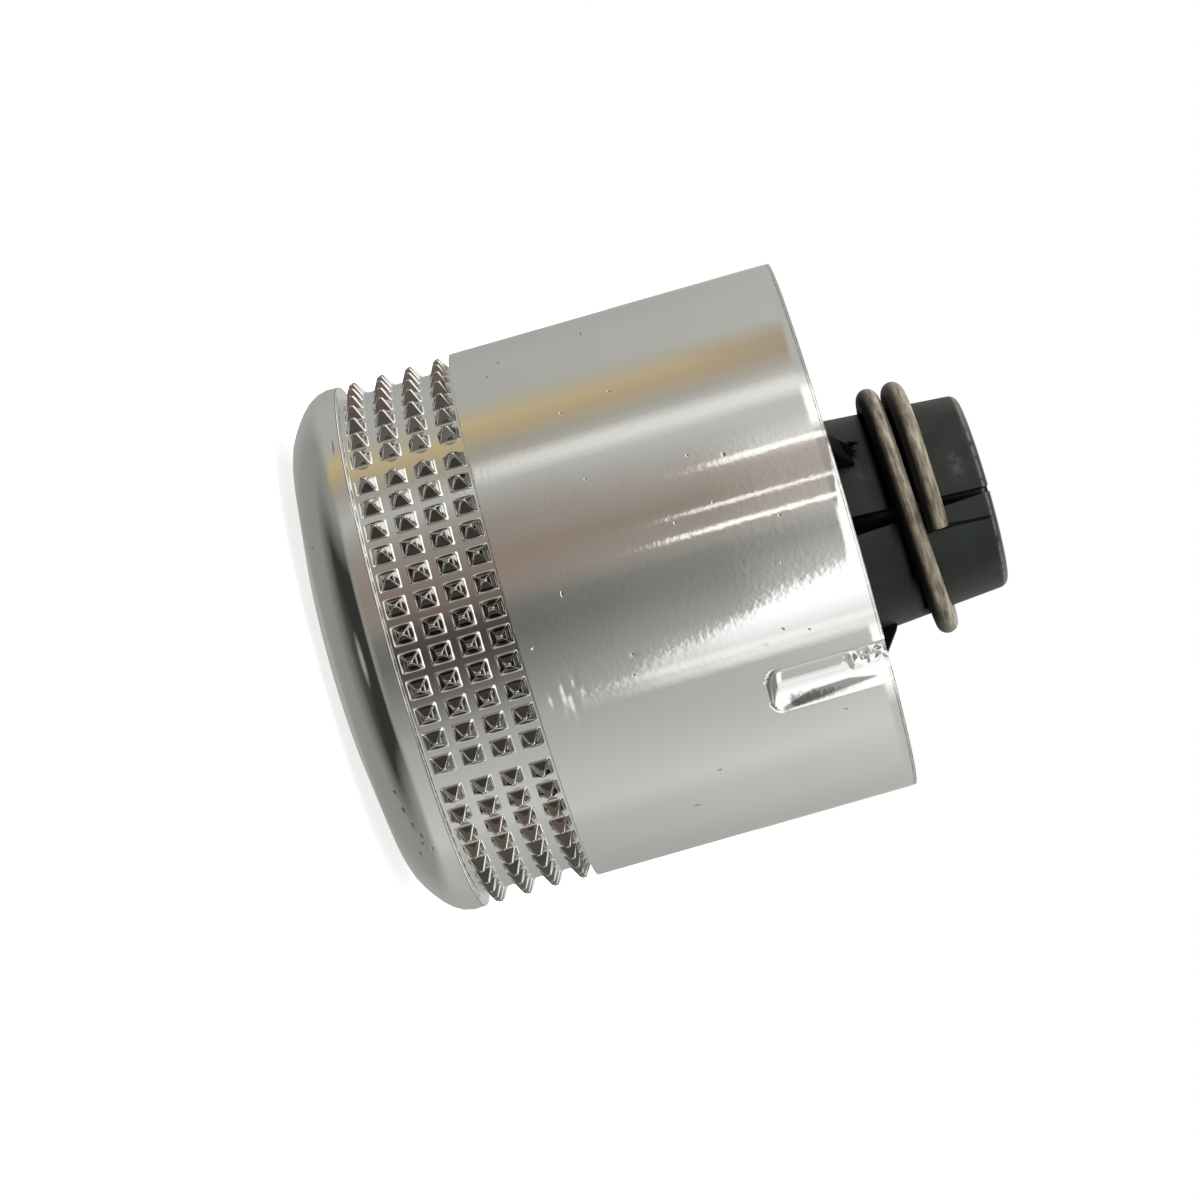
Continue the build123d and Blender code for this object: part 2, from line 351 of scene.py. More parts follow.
# %% The rings of one tooth
SEGMENTS, COLUMNS, ROWS = 5, 12, 4
ROW_PITCH, ROW_GAP, ROW_LEAD = 1.333, 0.283, 0.15
TOOTH_GAP, SEAM_GAP, TOOTH_HEIGHT = 0.25, 0.65, 0.6
seam_angle, gap_angle = SEAM_GAP / FLOOR_R, TOOTH_GAP / FLOOR_R
width_angle = (2 * np.pi / SEGMENTS - seam_angle + gap_angle) / COLUMNS - gap_angle
tooth_half = np.array([(ROW_PITCH - ROW_GAP) / 2, width_angle * FLOOR_R / 2])

# From the foot to the tip, each ring has a slope, an inset from the tooth's outline, a height and the length
# by which its corners are cut. The foot and the tip are arcs of FOOT_R and TIP_R, and the flanks join them.
FOOT_R, TIP_R, FLANK, RING_SIDES = 0.14, 0.08, 61.0, 12
foot_turns, tip_turns = np.radians([0, 35, FLANK]), np.radians([FLANK, 0])
foot_reach, tip_reach = (k * np.tan(np.radians(FLANK) / 2) for k in (FOOT_R, TIP_R))
top_inset = foot_reach + TOOTH_HEIGHT / np.tan(np.radians(FLANK)) + tip_reach
inset = np.concatenate([[-0.05], FOOT_R * np.sin(foot_turns), top_inset - TIP_R * np.sin(tip_turns)])
foot_height, tip_height = FOOT_R * (1 - np.cos(foot_turns)), TOOTH_HEIGHT - TIP_R * (1 - np.cos(tip_turns))
height = np.concatenate([[-0.02], foot_height, tip_height])
slope = np.concatenate([[0], foot_turns, tip_turns])
corner = np.array([0.09, 0.09, 0.09, 0.08, 0.06, 0.045])
print("rings:", len(inset), "with heights", height.round(3))

# %% One tooth
# How dark the steep sides are painted, for dirt and the shade between the teeth: the side towards the rim,
# the side away from it, and the sides round the knob.
DIRT_AND_SHADE_FAR, DIRT_AND_SHADE_NEAR, DIRT_AND_SHADE_AROUND = 0.0, 0.82, 0.9
ring_signs = np.array([[1, 1], [-1, 1], [-1, -1], [1, -1]])


def tooth_rings():
    """Points (along, around, up), their normals and their dirt and painted shade on the rings of a tooth,
    twelve to a ring.

    Each ring is a rectangle with its corners cut. A corner has one point on the side across it, one on the
    side along it and one between them. A point's normal leans from straight up by the slope, towards its
    side. Dirt and a painted shade between the teeth sit on the steep sides, but not on the side towards the
    rim or on the hips.
    """
    half = tooth_half[None, :] - inset[:, None]
    hip = half - 0.3 * corner[:, None]
    steep = (slope > 0.4) & (height < TOOTH_HEIGHT - 0.01) & (height > 0.05)
    points, normals, dirt_and_shade = [], [], []
    for sx, sy in ring_signs:
        end_dirt_and_shade = DIRT_AND_SHADE_FAR if sx > 0 else DIRT_AND_SHADE_NEAR
        first = (half[:, 0] * sx, (half[:, 1] - corner) * sy, [sx, 0], end_dirt_and_shade)
        between = (hip[:, 0] * sx, hip[:, 1] * sy, [sx * 0.7, sy * 0.7], 0.0)
        second = ((half[:, 0] - corner) * sx, half[:, 1] * sy, [0, sy], DIRT_AND_SHADE_AROUND)
        for along, around, side, side_dirt_and_shade in (first, between, second)[:: sx * sy]:
            points.append(np.stack([along, around, height], axis=-1))
            lean = np.sin(slope)[:, None] * np.array(side)[None, :]
            normals.append(np.concatenate([lean, np.cos(slope)[:, None]], axis=-1))
            dirt_and_shade.append(np.where(steep, side_dirt_and_shade, 0.0))
    return np.stack(points, axis=1), np.stack(normals, axis=1), np.stack(dirt_and_shade, axis=1)


ring_points, ring_normals, ring_dirt_and_shade = tooth_rings()
tooth_points = np.concatenate([ring_points.reshape(-1, 3), [[0, 0, TOOTH_HEIGHT]]])
tooth_normals = np.concatenate([ring_normals.reshape(-1, 3), [[0, 0, 1]]])
tooth_dirt_and_shade = np.append(ring_dirt_and_shade.ravel(), 0.0)
tooth_faces = grid_faces(len(inset), RING_SIDES, wrap_columns=True)
tip = len(tooth_points) - 1
last = np.arange(RING_SIDES) + (len(inset) - 1) * RING_SIDES
tooth_cap = np.stack([last, np.full(RING_SIDES, tip), np.roll(last, -1)], axis=1)
print("one tooth has", len(tooth_faces) + len(tooth_cap), "faces, half sizes", tooth_half.round(3))

# %% Where the teeth stand
segment, column, row = np.meshgrid(np.arange(SEGMENTS), np.arange(COLUMNS), np.arange(ROWS), indexing="ij")
first_angle = POINTER + (seam_angle + width_angle) / 2
tooth_turn = first_angle + segment * 2 * np.pi / SEGMENTS + column * (width_angle + gap_angle)
tooth_z = BAND_Z + ROW_LEAD + tooth_half[0] + row * ROW_PITCH
tooth_turn, tooth_z = tooth_turn.reshape(-1, 1), tooth_z.reshape(-1, 1)
print("teeth:", len(tooth_turn))

# %% All the teeth
# A tooth is wrapped onto the floor of the band: up becomes radius and around becomes angle.
teeth_angle = tooth_turn + tooth_points[:, 1] / FLOOR_R
teeth_points = around_z(FLOOR_R + tooth_points[:, 2], teeth_angle, tooth_z + tooth_points[:, 0])
along_n, around_n, up_n = tooth_normals.T
teeth_normals = around_z(up_n, teeth_angle, along_n) + around_z(around_n, teeth_angle + np.pi / 2, 0)
shift = (np.arange(len(tooth_turn)) * len(tooth_points))[:, None, None]
teeth_faces = [*(tooth_faces[None] + shift).reshape(-1, 4), *(tooth_cap[None] + shift).reshape(-1, 3)]
teeth = make_piece("grip_teeth", teeth_points.reshape(-1, 3), teeth_faces, "shell", "plating")
teeth.data.normals_split_custom_set_from_vertices(teeth_normals.reshape(-1, 3))

# The teeth more than 35 degrees round from the camera's side, towards negative angles, get up to a fifth
# less of this dirt and painted shade.
less_darkened = np.clip((-35 - np.degrees(past(FACING, tooth_turn))) / 15, 0, 1)
paint_dirt_and_shade(teeth, (tooth_dirt_and_shade[None, :] * (1 - 0.2 * less_darkened)).ravel())
print("cleaner teeth:", int((less_darkened > 0.5).sum()))

# %% [markdown]
# ## The hub
# The hub is moulded in black plastic. Its disc closes the skirt, a short round foot stands on the disc, and
# the collet stands on the foot. Disc and foot are one turned profile. The collet leans a quarter of a
# millimetre to one side of the skirt, and what stands near it follows.


# %% Disc and foot
def set_off(points):
    """The points moved OFF_CENTRE to one side: wholly within 6.5 mm of the axis, not at all beyond 10 mm."""
    share = np.clip((10.0 - np.hypot(points[:, 0], points[:, 1])) / 3.5, 0, 1)[:, None]
    return points + share * around_z(OFF_CENTRE, FACING + np.pi / 2, 0)


disc_corners = [
    (0, SEAT_Z, 0),
    (DISC_R, SEAT_Z, 0.1),
    (DISC_R, DISC_TOP_Z, 0.1),
    (COLLET_R, DISC_TOP_Z, 0.25),
    (COLLET_R, SLOT_FLOOR_Z, 0.03),
    (BORE_R, SLOT_FLOOR_Z, 0.03),
    (BORE_R, DISC_TOP_Z, 0.1),
    (0, DISC_TOP_Z, 0),
]
round_angles = np.radians(np.arange(0, 360, 3.0))
points, faces = turned(rounded_profile(disc_corners), round_angles)
hub_disc = make_piece("hub_disc", set_off(points), faces, "hub", "hub_plastic")

# %% [markdown]
# ## The collet
# The collet is a thick tube that grips the shaft. One slot splits it, narrower at the mouth, where the
# spring ring squeezes it. Rather than cut the slot with a Boolean, the tube's closed outline is carried
# round from one wall of the slot to the other. That leaves clean walls, and a small Bevel modifier softens
# their edges. A gouge runs beside the slot.

# %% The collet's profile, slot and gouge
collet_corners = [
    (4.2, COLLET_ROOT_Z, 0),
    (5.0, COLLET_ROOT_Z, 0.02),
    (COLLET_R, SLOT_FLOOR_Z, 0.02),
    (COLLET_R, RIM_Z, 20),
    (COLLET_END_R, COLLET_END_Z, 0.42),
    (BORE_R, COLLET_END_Z, 0.3),
    (BORE_R, SLOT_FLOOR_Z, 0.02),
    (3.1, COLLET_ROOT_Z, 0.02),
    (4.2, COLLET_ROOT_Z, 0),
]
collet_profile = densify(rounded_profile(collet_corners)[:-1], 22, 31, 0.25)


def slot_half(z):
    """Half the slot's width: 0.55 mm at its floor and 0.125 mm at its mouth, in a straight line."""
    return 0.55 - 0.425 * np.clip((z - SLOT_FLOOR_Z) / (COLLET_END_Z - SLOT_FLOOR_Z), 0, 1)


def gouge_depth(angles, z):
    """A parabola across, 0.24 mm deep and 0.28 mm wide at its foot, and half of both at its upper end."""
    up = np.clip((z - 27.25) / 3.0, 0, 1)
    half = 0.14 - 0.07 * up
    a = COLLET_R * (angles - np.radians(12.9 + 3.4 * up)) / half
    return (0.24 - 0.12 * up) * np.clip(1 - a**2, 0, 1) * ((z > 27.1) & (z < 30.4))


print("the slot's floor is", 2 * slot_half(SLOT_FLOOR_Z), "mm wide")


# %% The collet
def collet():
    """The collet's points: the profile's (r, z) at angles middle + s * (180 degrees - asin(w / r)).

    w is half the slot's width and s runs from -1 to 1, so both walls of the slot stay flat. The columns of
    points are 0.4 degrees apart beside the slot, where the gouge is, and wider apart beyond.
    """
    r, z = collet_profile.T
    from_slot = np.concatenate([np.arange(0, 26, 0.4), np.arange(26, 80, 0.9), np.linspace(80, 178, 34)])
    s = np.concatenate([1 - from_slot / 180, [0], (from_slot / 180 - 1)[::-1]])[::-1, None]
    a = SLOT_TURN + np.pi + s * (np.pi - np.arcsin(slot_half(z) / r))[None, :]
    outer = r - np.where(r > 4.0, gouge_depth(past(FACING, a), z[None, :]), 0)
    points = around_z(outer, a, z)
    first = np.arange(len(r))
    caps = [first, (len(s) - 1) * len(r) + first[::-1]]
    return points.reshape(-1, 3), [*grid_faces(len(s), len(r), wrap_columns=True), *caps]


collet_points, faces = collet()
collet_piece = make_piece("hub_collet", set_off(collet_points), faces, "hub", "hub_plastic")
rounding = collet_piece.modifiers.new("slot edges", "BEVEL")
rounding.width, rounding.segments, rounding.limit_method = 0.06 * MM, 2, "ANGLE"
rounding.angle_limit = np.radians(50)

# %% A thin flash left in the slot, against the bore
web_z = np.array([21.7, 30.6])
web = []
for radius in (BORE_R + 0.2, BORE_R + 0.5):
    for side in (-1, 1):
        turn = SLOT_TURN + side * (slot_half(web_z) + 0.1) / radius
        web.append(around_z(radius, turn, web_z))
web_faces = [(0, 1, 3, 2), (4, 6, 7, 5), (0, 4, 5, 1), (2, 3, 7, 6), (1, 5, 7, 3), (0, 2, 6, 4)]
slot_web = make_piece("hub_slot_flash", set_off(np.concatenate(web)), web_faces, "hub", "hub_plastic")

# %% [markdown]
# ## The gussets
# Three gussets brace the collet against the disc. Each is a flat outline with a thickness, so its two sides
# are the same five points moved half the thickness each way. Their feet are sunk into the disc and the
# collet, and a Bevel modifier rounds the free edges.

# %% The three gussets
GUSSET_TURN, GUSSET_HALF = 171.6, 0.6
root_r, outer_r, root_z, end_z, top_z = 4.05, 11.15, 18.9, 20.729, 25.079
gusset_outline = np.array([
    (root_r, root_z), (outer_r, root_z), (outer_r, end_z), (COLLET_R, top_z), (root_r, top_z),
])
gusset_points, gusset_faces = [], []
n = len(gusset_outline)
i = np.arange(n)
edge_faces = np.stack([i, (i + 1) % n, (i + 1) % n + n, i + n], axis=1)
for index in range(3):
    turn = POINTER + np.radians(GUSSET_TURN + 120 * index)
    out, across = around_z(1, turn, 0), around_z(1, turn + np.pi / 2, 0)
    flat = gusset_outline[:, :1] * out + gusset_outline[:, 1:] * np.array([0, 0, 1.0])
    base = index * 2 * n
    gusset_points.append(np.concatenate([flat - GUSSET_HALF * across, flat + GUSSET_HALF * across]))
    gusset_faces += [i[::-1] + base, i + n + base, *(edge_faces + base)]
points = set_off(np.concatenate(gusset_points))
gussets = make_piece("hub_gussets", points, gusset_faces, "hub", "hub_plastic")
# The gussets are painted dark and dull all over: a painted shade.
paint_dirt_and_shade(gussets, np.full(len(points), 0.85))
rounding = gussets.modifiers.new("edges", "BEVEL")
rounding.width, rounding.segments = 0.08 * MM, 2

# %% [markdown]
# ## The spring ring
# A round wire of a turn and a half is squeezed round the collet. Its middle line is a circle that climbs one
# wire's thickness and a gap while it crosses from the first turn to the second. A curve with a bevel could
# draw it. Here a circle of points is carried along the line, so that the finish can know how far along and
# round the wire each point lies. The ends are sawn flat.

# %% The wire's middle line
WIRE_START, WIRE_END, WIRE_STEPS = -230.0, 340.9, 230
ring_angles = np.radians(np.linspace(WIRE_START, WIRE_END, WIRE_STEPS))


def ring_line(a):
    """(R cos, R sin, z) at angle a from the pointer.

    z climbs along half a cosine wave, (1 - cos(pi c)) / 2, c being the share of the way from -70 to 150
    degrees.
    """
    crossed = np.clip((np.degrees(a) + 70) / 220, 0, 1)
    z = RIM_Z + RING_LIFT + (2 * WIRE_R + RING_GAP) * (1 - np.cos(np.pi * crossed)) / 2
    return around_z(RING_R, POINTER + a, z)


line = ring_line(ring_angles)
step_lengths = np.linalg.norm(np.diff(line, axis=0), axis=1)
print("wire length in mm:", round(float(step_lengths.sum()), 1))

# %% The wire
# Each end has two more rings, 0.03 mm further out. The smaller one keeps the sawn face flat.
along = np.gradient(line, axis=0)
along /= np.linalg.norm(along, axis=1, keepdims=True)
outward = line * np.array([1, 1, 0]) / RING_R
to_skirt = np.cross(along, outward)
outward = np.cross(to_skirt, along)
stations = np.concatenate([[0, 0], np.arange(len(line)), [-1, -1]])
end_run = np.zeros(len(stations))
end_run[:2], end_run[-2:] = -0.03, 0.03
thickness = np.full(len(stations), WIRE_R)
thickness[[0, -1]] = WIRE_R * 0.9
t = np.linspace(0, 2 * np.pi, WIRE_SIDES, endpoint=False)[None, :, None]
circle = np.cos(t) * outward[stations][:, None] + np.sin(t) * to_skirt[stations][:, None]
middle_line = line[stations][:, None] + end_run[:, None, None] * along[stations][:, None]
wire = middle_line + thickness[:, None, None] * circle
wire_faces = list(grid_faces(len(stations), WIRE_SIDES, wrap_columns=True))
wire_faces += [np.arange(WIRE_SIDES)[::-1], (len(stations) - 1) * WIRE_SIDES + np.arange(WIRE_SIDES)]
wire_points = set_off(wire.reshape(-1, 3))
spring_ring = make_piece("spring_wire", wire_points, wire_faces, "spring_ring", "spring_wire")

# %% The wire unrolled, and its painted shadow
# The map holds each point's distance along the wire and round it in mm, for the streaks that drawing leaves.
# The side of the wire that faces the skirt is painted black: a painted shadow.
run = np.concatenate([[0], np.cumsum(step_lengths)])[np.clip(np.arange(len(stations)) - 2, 0, len(line) - 1)]
loop_point = np.zeros(len(spring_ring.data.loops), dtype=np.int64)
spring_ring.data.loops.foreach_get("vertex_index", loop_point)
station, spoke = loop_point // WIRE_SIDES, loop_point % WIRE_SIDES
half_round = np.abs((spoke + WIRE_SIDES // 2) % WIRE_SIDES - WIRE_SIDES // 2) * SIDE_WIDTH
unrolled = np.stack([run[np.minimum(station, len(run) - 1)], half_round], axis=1)
unrolled_map = spring_ring.data.uv_layers.new(name="unrolled")
unrolled_map.data.foreach_set("uv", unrolled.astype(np.float32).ravel())
spokes = np.sin(2 * np.pi * (np.arange(len(wire) * WIRE_SIDES) % WIRE_SIDES) / WIRE_SIDES)
# The side facing the skirt gets a painted shadow.
paint_dirt_and_shade(spring_ring, np.clip((spokes - 0.05) / 0.35, 0, 1))
print("the unrolled wire is", unrolled.max(axis=0).round(1), "mm")

# %% A painted shadow on the collet
# It is painted below each turn of the wire, as the wire's shadow, so every point of the collet asks how far
# it is from there.
from_pointer = np.degrees(np.arctan2(collet_points[:, 1], collet_points[:, 0]) - POINTER)
wire_shadow = np.zeros(len(collet_points))
for lap in (-360, 0, 360):
    along_wire = from_pointer + lap
    below_wire = np.abs(collet_points[:, 2] - (ring_line(np.radians(along_wire))[:, 2] - 0.52))
    inside = (along_wire > -232) & (along_wire < 343)
    wire_shadow = np.maximum(wire_shadow, inside * np.clip((0.34 - below_wire) / 0.12, 0, 1))
# The value is a painted shadow of the wire.
paint_dirt_and_shade(collet_piece, wire_shadow)
print("shadowed points:", int((wire_shadow > 0.5).sum()))

# Edges sharper than 50 degrees stay sharp in the shading.
for piece in (shell, hub_disc, collet_piece, gussets, spring_ring):
    piece.data.set_sharp_from_angle(angle=np.radians(50))

# %% [markdown]
# ## Finishes
# A finish reads Object coordinates, the dirt and painted shade stored on the points or the wire's own map,
# so it stays on the piece. The same few kinds of node come back in every finish, so each kind gets a short
# function that makes the node, plugs in what it is given and hands back its output.

# %% Helpers: a new finish, nodes and sums
BLACK, WHITE = (0, 0, 0), (1, 1, 1)


def new_finish(name):
    """A material with its node tree, its Principled shader and its Object coordinates."""
    material = bpy.data.materials.new(name)
    material.use_nodes = True
    tree = material.node_tree
    place = tree.nodes.new("ShaderNodeTexCoord").outputs["Object"]
    return material, tree, tree.nodes["Principled BSDF"], place


def plug(tree, socket, value):
    """Link a socket to another one, or set it. Colours have three numbers, and a number alone is a grey."""
    if isinstance(value, bpy.types.NodeSocket):
        tree.links.new(value, socket)
    elif socket.type == "RGBA":
        socket.default_value = (*value, 1) if isinstance(value, tuple) else (value, value, value, 1)
    else:
        socket.default_value = value


def add_node(tree, kind, plugs, **settings):
    """A new node with its settings made and with each {input: value or socket} plugged in."""
    node = tree.nodes.new("ShaderNode" + kind)
    for name, value in settings.items():
        setattr(node, name, value)
    for key, value in plugs.items():
        plug(tree, node.inputs[key], value)
    return node


def math_node(tree, kind, a, b=0.0, clamp=False):
    """A Math node on one or two values, each a number or a socket."""
    return add_node(tree, "Math", {0: a, 1: b}, operation=kind, use_clamp=clamp).outputs[0]


def mix_colour(tree, factor, a, b):
    """Colour a where factor is 0 and b where it is 1."""
    return add_node(tree, "Mix", {0: factor, 6: a, 7: b}, data_type="RGBA").outputs[2]


print("helpers:", [f.__name__ for f in (new_finish, plug, add_node, math_node, mix_colour)])


# %% Helpers: noise, bumps, ramps and grime
def noise(tree, place, size_mm, detail):
    """Noise whose lumps are about size_mm across."""
    plugs = {"Vector": place, "Scale": 1 / (size_mm * MM), "Detail": detail}
    return add_node(tree, "TexNoise", plugs).outputs["Fac"]


def bump(tree, height, depth_mm, shader, below=None):
    """A bump of depth_mm from a height between 0 and 1, laid on the bump below it."""
    node = add_node(tree, "Bump", {"Height": height, "Distance": depth_mm * MM})
    if below is not None:
        tree.links.new(below, node.inputs["Normal"])
    tree.links.new(node.outputs["Normal"], shader.inputs["Normal"])
    return node.outputs["Normal"]


def ramp(tree, value, stops):
    """A colour ramp with (place, colour) stops."""
    node = add_node(tree, "ValToRGB", {"Fac": value})
    band = node.color_ramp
    while len(band.elements) < len(stops):
        band.elements.new(1.0)
    for element, (at, colour) in zip(band.elements, stops):
        element.position = at
        element.color = (*colour, 1.0)
    return node.outputs["Color"]


def between(tree, value, low, high):
    """0 where value is below low and 1 where it is above high, with a straight climb between."""
    return ramp(tree, value, [(low, BLACK), (high, WHITE)])


def dirt_and_shade_of(tree):
    """How much dirt and painted shade the surface has, from 0 to 1, as its piece has stored it."""
    return add_node(tree, "Attribute", {}, attribute_name="dirt_and_shade").outputs["Fac"]


print("helpers for patterns:", [f.__name__ for f in (noise, bump, ramp, between, dirt_and_shade_of)])


# %% Helper: spots at chosen places
def spots(tree, place, marks, ragged_mm):
    """1 inside soft-edged ovals and 0 outside, for marks (angle from the camera's side, r, z, half sizes).

    Each oval is a spherical gradient, 1 at its middle and 0 at its edge, in a box turned to face outward.
    The place is first pushed about by noise, so that the ovals are ragged.
    """
    wobble = add_node(tree, "TexNoise", {"Vector": place, "Scale": 1 / (0.12 * MM)}).outputs["Color"]
    centred = add_node(tree, "VectorMath", {0: wobble, 1: (0.5, 0.5, 0.5)}, operation="SUBTRACT")
    push = {0: centred.outputs["Vector"], 1: (2 * ragged_mm * MM,) * 3, 2: place}
    pushed = add_node(tree, "VectorMath", push, operation="MULTIPLY_ADD").outputs["Vector"]
    total = None
    for angle, radius, z, around, along in marks:
        turn = FACING + np.radians(angle)
        box = add_node(tree, "Mapping", {
            "Vector": pushed, "Location": around_z(radius, turn, z) * MM, "Rotation": (0, 0, turn),
            "Scale": (0.6 * MM, around * MM, along * MM),
        }, vector_type="TEXTURE")
        oval = add_node(tree, "TexGradient", {"Vector": box.outputs["Vector"]}, gradient_type="SPHERICAL")
        fresh = oval.outputs["Fac"]
        total = fresh if total is None else math_node(tree, "MAXIMUM", total, fresh)
    return total


print("helper for marks:", spots.__name__)

# %% [markdown]
# ## Plating
# The shell is plastic with a thin bright plating. It mirrors the room, so what the finish itself adds is
# small: a faint orange peel as two bumps of different sizes, pits, and the dirt and painted shade that
# darken it. A random texture could strew the pits, but each has its own place, so each is an oval of its
# own.

# %% Plating
PITS = [
    (-19.9, 12.5, 19.4, 0.12, 0.11), (-11.1, 12.5, 18.4, 0.08, 0.07), (-9.2, 12.5, 16.6, 0.08, 0.07),
    (-5.0, 12.5, 21.0, 0.07, 0.06), (4.1, 12.5, 20.5, 0.07, 0.06), (-21.9, 12.5, 17.9, 0.08, 0.07),
    (-66, 12.5, 14.8, 0.42, 0.07), (-63, 12.5, 10.9, 0.2, 0.07), (-58, 12.5, 10.3, 0.15, 0.07),
    (17.0, 12.5, 19.8, 0.09, 0.09), (18.5, 12.5, 20.9, 0.07, 0.07), (13.5, 12.5, 13.3, 0.10, 0.07),
    (38.6, 12.5, 21.5, 0.08, 0.12), (45.5, 12.5, 15.5, 0.08, 0.13), (-23, 12.5, 13.4, 0.06, 0.07),
    (17.7, 12.5, 13.1, 0.08, 0.08), (-39.8, 12.5, 13.1, 0.10, 0.07), (-42, 12.5, 15.4, 0.10, 0.14),
    (-1.8, 12.5, 11.1, 0.14, 0.06), (6.9, 12.5, 9.3, 0.06, 0.12), (55, 12.5, 14.1, 0.10, 0.22),
    (29.5, 11.95, 1.72, 0.16, 0.11), (34, 12.0, 1.82, 0.26, 0.10), (38, 12.1, 1.98, 0.24, 0.09),
    (41, 12.2, 2.18, 0.28, 0.09), (43.5, 12.15, 2.08, 0.20, 0.09), (45, 12.3, 2.42, 0.26, 0.07),
    (47.5, 12.0, 1.82, 0.22, 0.10), (-49, 12.45, 3.0, 0.75, 0.07), (-28.5, 11.2, 1.1, 0.10, 0.10),
]
plating, tree, shader, place = new_finish("satin plating")
# The plating darkens with the stored dirt and painted shade.
clean_to_dirty_and_shaded = ramp(tree, dirt_and_shade_of(tree), [
    (0, (0.62, 0.62, 0.61)), (0.75, (0.32, 0.278, 0.258)), (0.9, (0.245, 0.232, 0.218)),
    (1.0, (0.185, 0.186, 0.18)),
])
pit = spots(tree, place, PITS, 0.06)
colour = mix_colour(tree, between(tree, pit, 0.15, 0.55), clean_to_dirty_and_shaded, (0.30, 0.29, 0.28))
tree.links.new(colour, shader.inputs["Base Color"])
shader.inputs["Metallic"].default_value = 1.0
shader.inputs["Roughness"].default_value = 0.055
peel = bump(tree, noise(tree, place, 0.24, 1.0), 0.0011, shader)
waves = bump(tree, noise(tree, place, 5.0, 1.0), 0.011, shader, peel)
bump(tree, pit, -0.025, shader, waves)
print("pits:", len(PITS))

# %% [markdown]
# ## Black plastic
# The hub's plastic has a dull moulded skin: nearly black, a little mottled, with paler patches, a scar that
# is partly a painted shadow, a ragged painted highlight round its end, and painted shade below the wire and
# on the gussets. Each mark is a mask that blends another colour into the base. The painted shade and the
# scar also take away the shine.

# %% Plastic
PALE_PATCHES = [(-22, 5.15, 25.35, 0.55, 0.55), (-14, 4.75, 29.45, 1.0, 0.5), (-52, 5.0, 27.9, 0.4, 0.5)]
SCAR_AND_SHADOW = [(-38.5, 5.15, 24.95, 0.65, 0.55), (-44, 5.1, 25.2, 0.35, 0.4)]
SHEEN = 0.32
black_plastic, tree, shader, place = new_finish("black moulded plastic")
grain = noise(tree, place, 0.3, 3.0)
base = ramp(tree, noise(tree, place, 1.3, 2.0), [
    (0.35, (0.003, 0.0052, 0.0038)), (0.65, (0.0085, 0.0125, 0.0098)),
])
# Paler patches, broken up by fine noise, are blended in at the listed places.
pale_patch = math_node(tree, "MULTIPLY", spots(tree, place, PALE_PATCHES, 0.25), between(tree, grain, 0.35, 0.62))
base = mix_colour(tree, pale_patch, base, (0.06, 0.067, 0.059))
# The scar is a dent painted near black: part damage, part painted shadow.
scar_and_shadow = spots(tree, place, SCAR_AND_SHADOW, 0.3)
scar_and_shadow_mask = between(tree, scar_and_shadow, 0.1, 0.3)
base = mix_colour(tree, scar_and_shadow_mask, base, (0.003, 0.003, 0.003))

# A painted highlight along the end's rounded edge lies between 30.30 and 30.47 mm up.
split_place = add_node(tree, "SeparateXYZ", {"Vector": place})
past_30 = math_node(tree, "SUBTRACT", split_place.outputs["Z"], 30.0 * MM, clamp=True)
end_highlight = ramp(tree, math_node(tree, "MULTIPLY", past_30, 1 / MM, clamp=True), [
    (0.30, BLACK), (0.35, WHITE), (0.41, WHITE), (0.47, BLACK),
])
end_highlight = math_node(tree, "MULTIPLY", end_highlight, between(tree, grain, 0.38, 0.5), clamp=True)
base = mix_colour(tree, end_highlight, base, (0.09, 0.095, 0.082))
# The painted shade under the wire and on the gussets, and the scar, darken the colour and take away the
# shine.
shade_and_scar = math_node(tree, "MAXIMUM", dirt_and_shade_of(tree), scar_and_shadow_mask, clamp=True)
tree.links.new(mix_colour(tree, shade_and_scar, base, (0.002, 0.002, 0.002)), shader.inputs["Base Color"])
shader.inputs["Roughness"].default_value = 0.5
unshaded_unscarred = math_node(tree, "SUBTRACT", 1.0, shade_and_scar, clamp=True)
tree.links.new(math_node(tree, "MULTIPLY", unshaded_unscarred, SHEEN, clamp=True), shader.inputs["Specular IOR Level"])
skin = bump(tree, noise(tree, place, 0.5, 3.0), 0.012, shader)
bump(tree, scar_and_shadow, -0.12, shader, skin)
print("nodes in the plastic:", len(tree.nodes))

# %% [markdown]
# ## Tarnished wire
# The wire is drawn steel that has tarnished brown. Drawing leaves streaks along it, so its noise is read on
# the unrolled map and stretched along the wire. Rust-brown specks and a painted shadow on the side facing
# the skirt finish it.

# %% Wire
# The unrolled map counts in mm, so one of its units stands for a metre to the noise helper.
UNROLLED_UNIT = 1 / MM
wire_steel, tree, shader, place = new_finish("tarnished wire")
unrolled_place = add_node(tree, "UVMap", {}, uv_map="unrolled").outputs["UV"]
stretched = add_node(tree, "Mapping", {"Vector": unrolled_place, "Scale": (0.8, 5.0, 1.0)})
streak = noise(tree, stretched.outputs["Vector"], UNROLLED_UNIT, 4.0)
steel = ramp(tree, streak, [
    (0.36, (0.07, 0.053, 0.035)), (0.46, (0.165, 0.14, 0.10)), (0.56, (0.235, 0.205, 0.15)),
    (0.68, (0.36, 0.33, 0.26)),
])
specks = between(tree, noise(tree, place, 0.22, 2.0), 0.66, 0.72)
steel = mix_colour(tree, specks, steel, (0.16, 0.06, 0.035))
# The side facing the skirt is painted near black: a painted shadow.
shadowed_steel = mix_colour(tree, dirt_and_shade_of(tree), steel, (0.006, 0.005, 0.004))
tree.links.new(shadowed_steel, shader.inputs["Base Color"])
shader.inputs["Metallic"].default_value = 0.4
shader.inputs["Roughness"].default_value = 0.5
bump(tree, streak, 0.015, shader)
print("nodes in the wire's finish:", len(tree.nodes))

